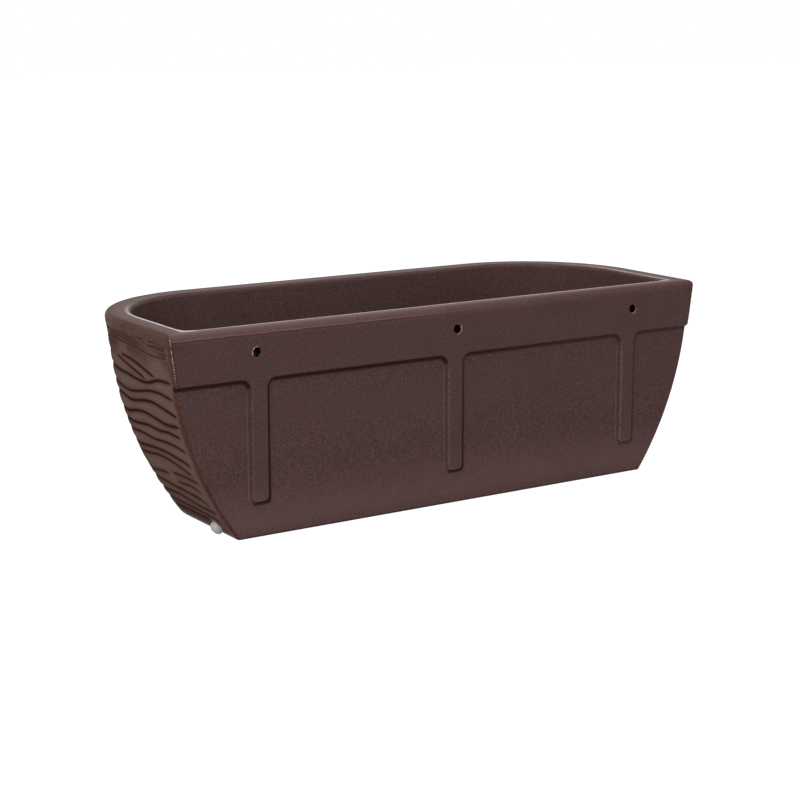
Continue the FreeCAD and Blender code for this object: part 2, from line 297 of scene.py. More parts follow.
# %% The depth of the grooves at any point
GROOVE_DEPTH = 1.15 * MM
TROUGH_DEPTH = 0.7 * MM
GROOVE_HALF_W = 1.9  # mm
TROUGH_HALF_W = 5.2  # mm
END_TAPER = 6.0  # mm over which a stroke grows shallow at its end
END_SHARE = 0.55  # what is left of its depth there
STROKE_REACH = 12.0  # mm past its end where a stroke stops counting
RUBBED_Z, RUBBED_OVER = 190.0, 12.0  # mm; from here up the carving is rubbed down
RUBBED_SHARE = 0.35
# one shallow dent on the drain end: mm from the back and mm up, and its half sizes
DENT_BACK, DENT_Z, DENT_HALF_W, DENT_HALF_H = 88.0, 197.0, 16.0, 4.5
DENT_DEPTH = 1.6  # times the depth of a trough


def carve(runs_mm, heights_mm):
    """Depth (m), groove and trough for a grid of points: rows are heights, columns are runs."""
    cut = np.zeros((len(heights_mm), len(runs_mm)))
    trough = np.zeros_like(cut)
    z = heights_mm[:, None]
    rubbed = 1.0 - RUBBED_SHARE * np.clip((z - RUBBED_Z) / RUBBED_OVER, 0.0, 1.0)
    for start, end, height_at, depth, half_w in strokes:
        past = np.maximum(np.maximum(start - runs_mm, runs_mm - end), 0.0)
        if past.min() > STROKE_REACH:
            continue
        path = height_at(np.clip(runs_mm, start, end))
        slope = np.gradient(path, runs_mm)
        across = (z - path[None, :]) / np.sqrt(1.0 + slope ** 2)[None, :]
        away = np.hypot(across, past[None, :])
        inside = np.clip(np.minimum(runs_mm - start, end - runs_mm) / END_TAPER, 0.0, 1.0)
        strength = depth * (END_SHARE + (1.0 - END_SHARE) * inside)[None, :] * rubbed
        cut = np.maximum(cut, strength * np.exp(-(away / (GROOVE_HALF_W * half_w)) ** 2))
        trough = np.maximum(trough, strength * np.exp(-(away / TROUGH_HALF_W) ** 2))
    dent_across = np.exp(-((half_mm - runs_mm - DENT_BACK) / DENT_HALF_W) ** 2)[None, :]
    dent = dent_across * np.exp(-((z - DENT_Z) / DENT_HALF_H) ** 2)
    return GROOVE_DEPTH * cut + TROUGH_DEPTH * (trough + DENT_DEPTH * dent), cut, trough


print("groove", round(GROOVE_DEPTH / MM, 2), "mm deep in a trough of", round(TROUGH_DEPTH / MM, 2))

# %% Uneven depth, and the edges of the carved field
FIELD_LOW_Z = 3.4 * MM
FIELD_HIGH_Z = HEIGHT - 6.6 * MM
FIELD_END = HALF_RUN - 9.6 * MM  # the ripples stop short of the back corners
SIDE_FADE, LEVEL_FADE = 4.0 * MM, 3.0 * MM  # where they die away at its edges
DEEPEST = 1.45 * MM  # the body's sunk field lies 1.6 mm down
UNEVEN, RAGGED = 0.35, 3.0 * MM  # how much the depth varies and the field's ends wander


def soften(run, z, cut_depth):
    """The carving is uneven, dies away at the edges of its field and has a deepest point."""
    uneven = 1.0 + UNEVEN * noise.noise(Vector((run * 14.0, z * 30.0, 21.3)))
    stray = RAGGED * noise.noise(Vector((0.5, z * 60.0, 5.5)))
    edge = min((FIELD_END - abs(run) + stray) / SIDE_FADE, (z - FIELD_LOW_Z) / LEVEL_FADE,
               (FIELD_HIGH_Z - z) / LEVEL_FADE)
    sunk = cut_depth * uneven * min(max(edge, 0.0), 1.0)
    return sunk / (1.0 + (sunk / DEEPEST) ** 4) ** 0.25


print("deepest cut", round(DEEPEST / MM, 2), "mm")

# %% [markdown]
# Each sheet starts as a flat grid, whose X becomes the way round the wall and whose
# Y becomes height. The border dips just under the plain margin of the body, so no
# open edge shows, and the drain's round pad is left plain in the same way. A coarse
# second grid closes the back, so each sheet is a closed slab set in the wall. Three
# sheets keep the mesh fine without making any one piece heavy.

# %% Dip under the plain margins
TUCK = 1.6 * MM  # width of the border that dips under
TUCK_DEPTH = 0.3 * MM
PAD_R = 9.5 * MM  # plain round pad that the plug's head covers
DRAIN_Z = 8.6 * MM
DRAIN_RUN = HALF_RUN - 38.0 * MM


def edge_dip(run, z):
    """How far the border and the drain's pad dip under the body."""
    inside = min(FIELD_END - abs(run), z - FIELD_LOW_Z, FIELD_HIGH_Z - z)
    border = max(0.0, 1.0 - inside / TUCK)
    from_drain = math.hypot(run - DRAIN_RUN, (z - DRAIN_Z) / math.cos(wall_slope(DRAIN_Z)))
    pad = max(0.0, 1.0 - from_drain / PAD_R)
    return TUCK_DEPTH * border ** 2 + 2.0 * TUCK_DEPTH * min(1.0, 4.0 * pad) ** 2


def new_piece(name, bm):
    """Turns a finished bmesh into an object in the scene."""
    mesh = bpy.data.meshes.new(name)
    bm.to_mesh(mesh)
    bm.free()
    piece = bpy.data.objects.new(name, mesh)
    bpy.context.collection.objects.link(piece)
    return piece


def smooth_faces(bm):
    """Point every face outwards and shade it smooth."""
    bmesh.ops.recalc_face_normals(bm, faces=bm.faces)
    for face in bm.faces:
        face.smooth = True


print("dip at the field's corner", round(edge_dip(FIELD_END, FIELD_LOW_Z) / MM, 2), "mm")

# %% Lay the ripple sheets on the wall
PROUD = 0.03 * MM  # the plain face lies this far over the body
SLAB = 2.4 * MM  # depth of the slab's hidden back
SHEET_ACROSS, SHEET_UP = 300, 300  # squares in the carved face
HIDDEN_ACROSS, HIDDEN_UP = 40, 16  # squares in the hidden back
SHARP = math.radians(60.0)  # an edge that turns more than this stays sharp


def ripple_sheet(name, run_from, run_to):
    """Closed slab set in the wall between two places along it, with a carved face."""
    bm = bmesh.new()
    runs = np.linspace(run_from, run_to, SHEET_ACROSS + 1)
    heights = np.linspace(FIELD_LOW_Z, FIELD_HIGH_Z, SHEET_UP + 1)
    depth, groove, trough = carve(runs / MM, heights / MM)
    bmesh.ops.create_grid(bm, x_segments=SHEET_ACROSS, y_segments=SHEET_UP, size=1.0)
    groove_layer = bm.verts.layers.float.new("groove")
    trough_layer = bm.verts.layers.float.new("trough")
    for vert in bm.verts:
        column = round((vert.co.x + 1.0) / 2.0 * SHEET_ACROSS)
        row = round((vert.co.y + 1.0) / 2.0 * SHEET_UP)
        run, z = float(runs[column]), float(heights[row])
        sunk = soften(run, z, float(depth[row, column]))
        vert.co = on_wall(run, z, PROUD - sunk - edge_dip(run, z))
        vert[groove_layer] = float(groove[row, column])
        vert[trough_layer] = float(trough[row, column])
    face_count = len(bm.faces)
    hidden = bmesh.ops.create_grid(bm, x_segments=HIDDEN_ACROSS, y_segments=HIDDEN_UP, size=1.0)
    for vert in hidden["verts"]:
        run = run_from + (vert.co.x + 1.0) / 2.0 * (run_to - run_from)
        z = FIELD_LOW_Z + (vert.co.y + 1.0) / 2.0 * (FIELD_HIGH_Z - FIELD_LOW_Z)
        vert.co = on_wall(run, z, -SLAB)
    bm.faces.ensure_lookup_table()
    bmesh.ops.reverse_faces(bm, faces=bm.faces[face_count:])
    bmesh.ops.bridge_loops(bm, edges=[edge for edge in bm.edges if edge.is_boundary])
    smooth_faces(bm)
    for edge in bm.edges:
        edge.smooth = edge.calc_face_angle(0.0) < SHARP
    print(name, len(bm.faces), "faces, open edges", sum(edge.is_boundary for edge in bm.edges))
    sheet = new_piece(name, bm)
    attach(sheet, "planter")
    return sheet


third = 2.0 * FIELD_END / 3.0
ripples = [
    ripple_sheet("ripples_plain_end", -FIELD_END, -FIELD_END + third),
    ripple_sheet("ripples_front", -FIELD_END + third, FIELD_END - third),
    ripple_sheet("ripples_drain_end", FIELD_END - third, FIELD_END),
]

# %% [markdown]
# ## Marks of moulding and drilling
#
# Where the two mould halves met, a thin rough line of plastic runs down each back
# corner of the band. It is a row of low grains. A displaced strip would do, but it
# needs a fine mesh all over, so the line is a narrow tube along the corner whose
# radius jumps from ring to ring.

# %% The rounded back corner
CORNER_ROUND = 4.0 * MM  # round on the back's upright corners
DIAGONAL = math.sqrt(0.5)


def corner_point(side, z, out=0.0):
    """Middle of the rounded back corner at height z, following the rim's round at the top."""
    over = max(0.0, RIM_ROUND - (HEIGHT - z))
    rim_fall = RIM_ROUND - math.sqrt(RIM_ROUND ** 2 - over ** 2)
    back_off = CORNER_ROUND * (1.0 - DIAGONAL) + rim_fall - out * DIAGONAL
    return Vector((side * (END_X - wall_inset(z) - back_off), BACK_Y - back_off, z))


print("corner at the band's foot", [round(c, 4) for c in corner_point(1.0, BAND_Z)])

# %% Rough parting line down the back corners
GRAIN_R = 1.0 * MM
GRAIN_SUNK = 0.55 * MM  # the tube's middle lies this far in the corner
LINE_TOP = HEIGHT - 1.2 * MM
LINE_BOTTOM = BAND_Z - 1.0 * MM
RINGS, SIDES = 150, 8
LUMPS, DRIFTS = 900.0, 160.0  # noise steps per metre: single grains, slow changes
SIDE_DRIFT = 0.35 * MM


def parting_line(name, side, seed):
    """Tube of grains down one back corner of the band."""
    bm = bmesh.new()
    bmesh.ops.create_circle(bm, cap_ends=True, segments=SIDES, radius=GRAIN_R)
    loop = list(bm.edges)
    centres = [corner_point(side, LINE_TOP + (LINE_BOTTOM - LINE_TOP) * k / RINGS, -GRAIN_SUNK)
               for k in range(RINGS + 1)]
    bmesh.ops.translate(bm, verts=bm.verts, vec=centres[0])
    for k in range(1, RINGS + 1):
        grown = bmesh.ops.extrude_edge_only(bm, edges=loop)["geom"]
        ring = [item for item in grown if isinstance(item, bmesh.types.BMVert)]
        loop = [item for item in grown if isinstance(item, bmesh.types.BMEdge)]
        bmesh.ops.translate(bm, verts=ring, vec=centres[k] - centres[k - 1])
    bmesh.ops.holes_fill(bm, edges=[edge for edge in bm.edges if edge.is_boundary])
    # each ring swells or shrinks by the grain there, and the line thins out at both ends
    for vert in bm.verts:
        share = (LINE_TOP - vert.co.z) / (LINE_TOP - LINE_BOTTOM)
        centre = centres[min(RINGS, max(0, round(share * RINGS)))]
        lump = noise.noise(Vector((seed, vert.co.z * LUMPS, 1.0)))
        drift = noise.noise(Vector((seed + 4.0, vert.co.z * DRIFTS, 2.0)))
        fade = min(1.0, 0.5 + 12.0 * share, 4.0 * (1.0 - share) + 0.2)
        size = fade * max(0.2, 0.78 + 0.7 * lump + 0.35 * drift)
        vert.co = centre + (vert.co - centre) * size
        vert.co.x += SIDE_DRIFT * drift
    smooth_faces(bm)
    line = new_piece(name, bm)
    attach(line, "planter")
    return line


parting_lines = [
    parting_line("parting_line_drain_side", 1.0, 3.0),
    parting_line("parting_line_plain_side", -1.0, 9.0),
]
print("parting line faces", [len(line.data.polygons) for line in parting_lines])

# %% [markdown]
# The bolt holes were drilled after moulding, and the drill left a ragged pale burr
# just inside each mouth. Paint alone would stay flat in a close view, so each burr is
# a thin ring whose width wanders, so that it shows as crescents.

# %% Burrs in the mouths of the bolt holes
HOLE_R = 5.2 * MM
HOLE_Z = HEIGHT - 26.4 * MM
HOLE_SPACING = 256.0 * MM
HOLE_SHIFT = -1.8 * MM  # the middle hole, from mid-length
HOLE_X = [HOLE_SHIFT + step * HOLE_SPACING for step in (1.0, 0.0, -1.0)]
BURR_R = HOLE_R + 0.15 * MM  # its outer edge is sunk in the wall
BURR_THICK = 0.3 * MM
BURR_SEGMENTS = 72


def hole_burr(name, x, seed, thick_from):
    """Ragged ring just inside a hole's mouth, thick on one side and gone on the other."""
    bm = bmesh.new()
    bmesh.ops.create_circle(bm, cap_ends=False, segments=BURR_SEGMENTS, radius=BURR_R)
    inner = bmesh.ops.extrude_edge_only(bm, edges=list(bm.edges))["geom"]
    for vert in [item for item in inner if isinstance(item, bmesh.types.BMVert)]:
        angle = math.atan2(vert.co.y, vert.co.x)
        across, up = math.cos(angle), math.sin(angle)
        lean = 0.5 + 0.5 * math.cos(angle - thick_from)
        tooth = noise.noise(Vector((3.0 * across, 3.0 * up, seed)))
        fine = noise.noise(Vector((9.0 * across, 9.0 * up, seed + 5.0)))
        width = max(0.05, 0.05 + 0.75 * lean ** 3 + 0.5 * tooth * lean + 0.2 * fine) * MM
        vert.co *= (HOLE_R - width) / BURR_R
        vert.co.z = -0.1 * MM - 0.25 * MM * lean
    bmesh.ops.solidify(bm, geom=list(bm.faces), thickness=BURR_THICK)
    upright = Matrix.Rotation(-math.pi / 2.0, 3, "X")
    bmesh.ops.rotate(bm, verts=bm.verts, cent=(0, 0, 0), matrix=upright)
    high = max(vert.co.y for vert in bm.verts)
    mouth = Vector((x, BACK_Y - high - 0.02 * MM, HOLE_Z))
    bmesh.ops.translate(bm, verts=bm.verts, vec=mouth)
    smooth_faces(bm)
    burr = new_piece(name, bm)
    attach(burr, "planter")
    return burr


burrs = [
    hole_burr("hole_burr_left", HOLE_X[0], 1.7, math.radians(150.0)),
    hole_burr("hole_burr_middle", HOLE_X[1], 6.2, math.radians(215.0)),
    hole_burr("hole_burr_right", HOLE_X[2], 11.9, math.radians(200.0)),
]
print("burrs", [len(burr.data.polygons) for burr in burrs])

# %% [markdown]
# ## The plastic
#
# The body is one colour of matt brown plastic, finely speckled all through, a little
# redder where the mould's edges were rubbed, and the carved walls are greyer with
# dark grooves. The speckle and the marks of wear and painted light are needed by more
# than one material, so each is a node group. All patterns read Object coordinates:
# every piece stands at the origin, so they are real places on the planter, in metres.

# %% Helpers for node trees
def add_node(tree, kind, **settings):
    """A new node with its properties set."""
    node = tree.nodes.new(kind)
    for key, value in settings.items():
        setattr(node, key, value)
    return node


def plug_in(tree, source, target):
    """Link an output socket to an input socket."""
    tree.links.new(source, target)


def feed(tree, value, socket):
    """Give an input socket a number, a colour or a link."""
    if hasattr(value, "links"):
        plug_in(tree, value, socket)
    elif isinstance(value, (int, float)):
        socket.default_value = value
    else:
        socket.default_value = (*value, 1.0)


def wire(tree, node, sockets):
    """Feed several sockets of a node by name; a number goes on the socket itself."""
    for label, value in sockets.items():
        feed(tree, value, node.inputs[label])


def calc(tree, operation, *values):
    """Math node fed with numbers or sockets."""
    node = add_node(tree, "ShaderNodeMath", operation=operation)
    for index, value in enumerate(values):
        feed(tree, value, node.inputs[index])
    return node.outputs[0]


def ramp(tree, value, low, high, to_low=0.0, to_high=1.0):
    """Smooth change from to_low to to_high as value goes from low to high."""
    node = add_node(tree, "ShaderNodeMapRange", interpolation_type="SMOOTHSTEP")
    wire(tree, node, {"Value": value, "From Min": low, "From Max": high,
                      "To Min": to_low, "To Max": to_high})
    return node.outputs["Result"]


def mix_colour(tree, share, first, second):
    """Mix node for colours; the share and each side are a value or a socket."""
    node = add_node(tree, "ShaderNodeMix", data_type="RGBA")
    for index, value in ((0, share), (6, first), (7, second)):
        feed(tree, value, node.inputs[index])
    return node.outputs[2]


def rough_noise(tree, place, scale, detail=2.0, roughness=0.5):
    """Noise texture at a place, with about `scale` lumps in a metre."""
    node = add_node(tree, "ShaderNodeTexNoise")
    wire(tree, node, {"Vector": place, "Scale": scale, "Detail": detail, "Roughness": roughness})
    return node.outputs["Fac"]


def bumped(tree, height, strength, distance):
    """Normal that a fine height pattern tilts."""
    bump = add_node(tree, "ShaderNodeBump")
    wire(tree, bump, {"Height": height, "Strength": strength, "Distance": distance})
    return bump.outputs["Normal"]


def new_group(name, outputs):
    """Empty node group with the named output sockets, and its output node."""
    group = bpy.data.node_groups.new(name, "ShaderNodeTree")
    for label, kind in outputs:
        group.interface.new_socket(name=label, in_out="OUTPUT", socket_type=kind)
    return group, group.nodes.new("NodeGroupOutput")


print("node helpers ready")

# %% [markdown]
# Powder that melts in a turning mould leaves a fine salt-and-pepper speckle and a
# faint grain that can be felt. A photograph of plastic would tile and show seams, so
# two fine noises make both the speckle and the bump, and a slow third one gives
# clouds.

# %% Speckle and grain of the moulded plastic
FINE_SCALE, GRAIN_SCALE, CLOUD_SCALE = 720.0, 1300.0, 26.0
FINE_SHARE = 0.6
BUMP_STRENGTH, BUMP_DISTANCE = 0.35, 0.4 * MM

speckle_group, speckle_out = new_group("moulded_speckle", [
    ("Speckle", "NodeSocketFloat"), ("Cloud", "NodeSocketFloat"), ("Normal", "NodeSocketVector")])
place = add_node(speckle_group, "ShaderNodeTexCoord").outputs["Object"]
fine = rough_noise(speckle_group, place, FINE_SCALE, 2.0, 0.5)
grain = rough_noise(speckle_group, place, GRAIN_SCALE, 2.0, 0.6)
cloud = rough_noise(speckle_group, place, CLOUD_SCALE, 2.0, 0.5)
speckle = calc(speckle_group, "ADD", calc(speckle_group, "MULTIPLY", fine, FINE_SHARE),
               calc(speckle_group, "MULTIPLY", grain, 1.0 - FINE_SHARE))
wire(speckle_group, speckle_out, {
    "Speckle": ramp(speckle_group, speckle, 0.38, 0.62), "Cloud": cloud,
    "Normal": bumped(speckle_group, speckle, BUMP_STRENGTH, BUMP_DISTANCE)})
print("speckle group", len(speckle_group.nodes), "nodes")

# %% [markdown]
# Handling rubs the corners and the rim, and drilling chips the plastic round the holes.
# Beside these wear marks the group holds painted light: painted shade in the creases,
# along the foot and in the bores, painted highlights on the ribs' lit edges and the
# rim's inner edge, and a painted sheen and lighter foot on the back. Such marks could be
# painted by hand on an image, but each one lies at a known distance from an edge of the
# planter, so they are masks worked out from distances, in one group for all the brown
# materials.

# %% A group for the marks, and helpers that work in it
MARKS = ("Corner", "Rim", "Wall", "Crease_shade", "Worn_and_highlight", "Bore_shade",
         "Foot_painted_light", "Shade", "Edge_highlight", "Chip", "Sheen", "Top")
WANDER_SCALE, RAGGED_SCALE = 45.0, 320.0
marks, marks_out = new_group("wear_and_painted_light_marks", [(label, "NodeSocketFloat") for label in MARKS])


def plus(first, second):
    return calc(marks, "ADD", first, second)


def minus(first, second):
    return calc(marks, "SUBTRACT", first, second)


def times(first, second):
    return calc(marks, "MULTIPLY", first, second)


def larger(first, second):
    return calc(marks, "MAXIMUM", first, second)


def distance(first, second):
    """Length of the diagonal of two distances."""
    return calc(marks, "SQRT", plus(times(first, first), times(second, second)))


def near(value, full, gone, most=1.0, least=0.0):
    """Mask that is `most` up to `full` mm and fades to `least` at `gone` mm."""
    return ramp(marks, value, full * MM, gone * MM, most, least)


def far(value, gone, full, least=0.0, most=1.0):
    """Mask that is `least` up to `gone` mm and grows to `most` at `full` mm."""
    return ramp(marks, value, gone * MM, full * MM, least, most)


def line_at(value, centre, half_w):
    """1 on a line where value equals centre (mm), and 0 from half_w (mm) away."""
    return near(calc(marks, "ABSOLUTE", minus(value, centre * MM)), 0.25 * half_w, half_w)


def all_of(*masks):
    """Product of several masks."""
    product = masks[0]
    for mask in masks[1:]:
        product = times(product, mask)
    return product


def send(label, mask):
    """Put a mask out of the group under its name."""
    plug_in(marks, mask, marks_out.inputs[label])


place = add_node(marks, "ShaderNodeTexCoord").outputs["Object"]
split = add_node(marks, "ShaderNodeSeparateXYZ")
plug_in(marks, place, split.inputs[0])
x_place, y_place, z_place = split.outputs
wander = rough_noise(marks, place, WANDER_SCALE, 4.0, 0.6)
ragged = rough_noise(marks, place, RAGGED_SCALE, 3.0, 0.6)
unsteady = minus(wander, 0.5)
print("places", [socket.name for socket in split.outputs])

# %% Distances to the outer wall, the back and the rim
# how far in from the rim the wall stands, the same formula as wall_inset
band_in = times(minus(HEIGHT, z_place), math.tan(LEAN))
drop = minus(ARC_Z, z_place)
arc_in = minus(ARC_IN, calc(marks, "SQRT", minus(WALL_R ** 2, times(drop, drop))))
in_band = calc(marks, "GREATER_THAN", z_place, BAND_Z)
inset = plus(times(band_in, in_band), times(arc_in, minus(1.0, in_band)))
# the D seen from above: straight ends, round front corners, straight front
past_axis_x = larger(minus(calc(marks, "ABSOLUTE", x_place), AXIS_X), 0.0)
past_axis_y = larger(minus(AXIS_Y, y_place), 0.0)
from_rim = minus(CORNER_R, distance(past_axis_x, past_axis_y))
from_wall = minus(from_rim, inset)
from_back = minus(BACK_Y, y_place)
below_rim = minus(HEIGHT, z_place)
print("mask nodes", len(marks.nodes))

# %% Rubbed corners, the outer wall and the rim
corner_far = plus(larger(times(from_wall, 3.2), from_back), times(unsteady, 8.0 * MM))
send("Corner", near(corner_far, 8.5, 13.5))
rim_far = plus(below_rim, times(unsteady, 20.0 * MM))
streaks = ramp(marks, plus(wander, times(ragged, 0.5)), 0.62, 0.92, 0.7, 1.0)
rim_side = all_of(near(rim_far, 10.0, 22.0), near(from_wall, 2.0, 19.0))
rim_back = all_of(near(rim_far, 4.0, 10.0, 0.35), near(from_back, 4.0, 14.0))
send("Rim", all_of(larger(rim_side, rim_back), streaks))
# painted sheen: the back is lighter just under the rim
send("Top", all_of(near(below_rim, 6.0, 12.0), near(from_back, 6.0, 14.0),
                   far(x_place, -250.0, 150.0, 0.45)))
send("Wall", all_of(near(from_wall, 1.2, 3.0), far(from_back, 3.0, 5.0)))
print("mask nodes", len(marks.nodes))

# %% Distances to the ribs and the band on the back
RIB_SPACING = 252.0 * MM
RIB_HALF_W = 9.3 * MM
RIB_DRAFT = 2.6 * MM  # how much wider a rib is at its root
RIB_FOOT_Z = 40.4 * MM
SHOULDER = 3.5 * MM  # height of the step from band to panel
RIB_ROUND, BAND_ROUND = 8.0 * MM, 9.0 * MM  # how the creases round their corners

on_back = near(from_back, 7.0, 9.0)
from_rib = calc(marks, "WRAP", x_place, RIB_SPACING / 2.0, -RIB_SPACING / 2.0)
past_rib = minus(from_rib, RIB_HALF_W)
above_rib_foot = minus(z_place, RIB_FOOT_Z)
beside = minus(calc(marks, "ABSOLUTE", from_rib), RIB_HALF_W + 0.8 * RIB_DRAFT)
beneath = minus(RIB_FOOT_Z - 0.8 * RIB_DRAFT, z_place)
band_gap = minus(BAND_Z - SHOULDER, z_place)
rib_gap = calc(marks, "SMOOTH_MAX", beside, beneath, RIB_ROUND)
edge_gap = calc(marks, "SMOOTH_MIN", rib_gap, band_gap, BAND_ROUND)
print("ribs", round(RIB_SPACING / MM), "mm apart,", round(2.0 * RIB_HALF_W / MM, 1), "mm wide")

# %% Painted shade in the creases, a painted contact shadow along the foot, and painted light low on the back
# the painted crease shade is paler on the side of each rib that faces the light
above_foot = larger(near(beneath, -3.0, 1.0), far(past_rib, -4.0, 1.0))
lit_side = all_of(far(from_rib, 0.0, 4.0), far(band_gap, 4.0, 12.0), above_foot)
painted_crease = all_of(line_at(edge_gap, -0.2, 4.4), far(from_back, 0.5, 1.6), on_back,
                ramp(marks, lit_side, 0.0, 1.0, 1.0, 0.1), far(x_place, -330.0, 100.0, 0.5))
# painted contact shadow: a dark line along the foot of the back
foot_shadow = all_of(near(z_place, 1.2, 3.2, 0.8), on_back)
send("Crease_shade", larger(painted_crease, foot_shadow))
# painted light: the back grows lighter towards its foot
send("Foot_painted_light", all_of(near(z_place, 10.0, 75.0), far(z_place, 0.0, 16.0, 0.5), on_back))
print("mask nodes", len(marks.nodes))

# %% Painted highlights on the ribs' lit edges, and the seam under the rim
along_rib = all_of(far(above_rib_foot, 0.0, 4.0), far(band_gap, 4.0, 20.0))
# painted highlight along the edge, foot and root of each rib, on its lit side only
rib_edge_highlight = all_of(line_at(past_rib, -0.6, 2.3), near(from_back, 0.8, 1.6), along_rib,
                  near(x_place, -200.0, 200.0, 1.0, 0.35))
rib_root_light = all_of(line_at(past_rib, RIB_DRAFT / MM + 1.2, 1.8), on_back, along_rib)
rib_foot_highlight = all_of(line_at(above_rib_foot, 0.8, 1.3), near(beside, -6.0, -3.0),
                  far(from_rib, -6.0, 8.0), near(from_back, 0.6, 1.4))
# a thin unsteady seam under the rim, with a painted shade just below it
seam_drop = plus(below_rim, times(unsteady, 3.2 * MM))
seam_part = all_of(far(x_place, -60.0, 120.0), near(from_back, 0.8, 1.6))
rim_seam = all_of(line_at(seam_drop, 6.2, 1.0), seam_part)
send("Shade", all_of(line_at(seam_drop, 7.8, 1.5), seam_part))
# the pale tint sums the real seam line with these painted rib highlights
broken = ramp(marks, ragged, 0.38, 0.64, 0.05, 0.6)
seam_and_root_lines = plus(times(rib_root_light, 0.3), times(rim_seam, 0.45))
send("Worn_and_highlight", plus(seam_and_root_lines, times(plus(rib_edge_highlight, rib_foot_highlight), broken)))
print("mask nodes", len(marks.nodes))

# %% The rim's inner edge, glossy and with a painted highlight, and the sheen on the rim
WALL_ENDS = 29.0 * MM  # rim edge to hollow, ends and front
WALL_BACK = 22.0 * MM  # the same at the back
RIM_R_IN = 5.0 * MM
EDGE_ROUND = 8.0 * MM

inner_edge = calc(marks, "SMOOTH_MIN", minus(from_rim, WALL_ENDS - RIM_R_IN + 1.1 * MM),
                  minus(from_back, WALL_BACK - RIM_R_IN + 0.9 * MM), EDGE_ROUND)
rim_edge = all_of(far(inner_edge, -3.4, -0.8), near(inner_edge, 0.8, 3.0),
                  near(below_rim, 1.0, 2.8))
# it shows along the back and the drain end
highlight_part = all_of(far(y_place, -90.0, 40.0), ramp(marks, wander, 0.30, 0.55, 0.6, 1.0),
                     far(x_place, -345.0, -300.0, 0.25))
# painted highlight: a pale line on the inner edge; the same mask thickens the coat there
send("Edge_highlight", all_of(rim_edge, highlight_part))
# the flat top and the tops of both rounds shine, faintly at the end's outer edge
send("Sheen", all_of(near(below_rim, 2.0, 9.0), far(from_rim, 4.0, 20.0, 0.35),
                     far(from_back, 4.0, 12.0, 0.4), near(inner_edge, 2.0, 6.0, 1.0, 0.3)))
print("mask nodes", len(marks.nodes))

# %% Painted shade inside the bores, and pale chips round their mouths
hole_x = calc(marks, "WRAP", minus(x_place, HOLE_SHIFT), HOLE_SPACING / 2.0, -HOLE_SPACING / 2.0)
hole_z = minus(z_place, HOLE_Z)
past_bore = minus(distance(hole_x, hole_z), HOLE_R)
# painted shade: the bores are coloured near black
send("Bore_shade", all_of(near(past_bore, 0.05, 0.25), far(from_back, 0.2, 0.8),
                    near(from_back, 24.0, 26.0)))
# the chips lie high on the first hole's left, and low on the others' right
first_hole = calc(marks, "GREATER_THAN", x_place, HOLE_SPACING / 2.0)
turned = minus(times(first_hole, 2.0), 1.0)
chip_side = times(turned, plus(hole_x, times(hole_z, 0.6)))
send("Chip", all_of(line_at(past_bore, 0.55, 1.0), far(chip_side, 1.5, 5.0),
                    ramp(marks, ragged, 0.40, 0.55), near(from_back, 0.0, 1.0)))
print("mask nodes", len(marks.nodes))

# %% [markdown]
# ## Colours
#
# The colours are written as they look in daylight on the real thing: the back is a
# dark reddish brown, the carved walls are a lighter and greyer brown, and rubbed
# corners are a warmer one. They are turned from screen values to the linear ones
# that light needs.

# %% Colours
def from_screen(red, green, blue):
    """Screen colour (0 to 255) as the linear colour that a shader needs."""
    def linear(channel):
        share = channel / 255.0
        return share / 12.92 if share <= 0.04045 else ((share + 0.055) / 1.055) ** 2.4
    return tuple(linear(channel) for channel in (red, green, blue))


BROWN = from_screen(81, 61, 59)
BROWN_DARK = from_screen(50, 31, 30)
# pale speckle and torn plastic; also painted light and sheen on the back
BROWN_LIGHT = from_screen(104, 80, 78)
CARVED = from_screen(119, 96, 89)
TROUGH_BROWN = from_screen(94, 68, 59)
GROOVE_BROWN = from_screen(46, 24, 18)
RUBBED = from_screen(76, 44, 34)
# painted shade in the creases, along the foot and under the rim's seam
PAINTED_SHADE_BROWN = from_screen(34, 17, 15)
# pale wear, and painted highlight on the ribs' lit edges
WEAR_AND_HIGHLIGHT_PALE = from_screen(142, 116, 110)
# painted highlight on the rim's inner edge
EDGE_HIGHLIGHT_PALE = from_screen(230, 206, 198)
# painted shade inside the bolt holes
BORE_SHADE_DARK = from_screen(10, 6, 6)
SCRAPED = from_screen(196, 176, 164)
RUBBER = from_screen(203, 201, 197)
RUBBER_DUSTY = from_screen(168, 165, 158)
print("brown", [round(c, 3) for c in BROWN])


# %% Helpers for the materials
def new_material(name):
    """Node material with its Principled shader, and the tree."""
    material = bpy.data.materials.new(name)
    material.use_nodes = True
    tree = material.node_tree
    tree.nodes.clear()
    shader = add_node(tree, "ShaderNodeBsdfPrincipled")
    output = add_node(tree, "ShaderNodeOutputMaterial")
    plug_in(tree, shader.outputs[0], output.inputs["Surface"])
    return material, tree, shader


def use_group(tree, group):
    """Place a node group in a material."""
    return add_node(tree, "ShaderNodeGroup", node_tree=group)


def speckled(tree, base, speckle_node, strength=1.0):
    """Base colour with the fine speckle and the slow clouds laid over it."""
    most = 0.5 * strength
    pale = ramp(tree, speckle_node.outputs["Speckle"], 0.5, 1.0, 0.0, most)
    spotted = mix_colour(tree, pale, base, BROWN_LIGHT)
    dots = ramp(tree, speckle_node.outputs["Speckle"], 0.0, 0.5, most, 0.0)
    spotted = mix_colour(tree, dots, spotted, BROWN_DARK)
    clouds = ramp(tree, speckle_node.outputs["Cloud"], 0.35, 0.7, 0.0, 0.08)
    return mix_colour(tree, clouds, spotted, BROWN_DARK)


def tinted(tree, colour, marks_node, tints):
    """The colour turned towards each tint where its wear mark lies."""
    for mark, share, tint in tints:
        there = calc(tree, "MULTIPLY", marks_node.outputs[mark], share)
        colour = mix_colour(tree, there, colour, tint)
    return colour


def dress(piece, material):
    """Give every slot of a modelled piece the material."""
    for slot in piece.material_slots:
        slot.material = material


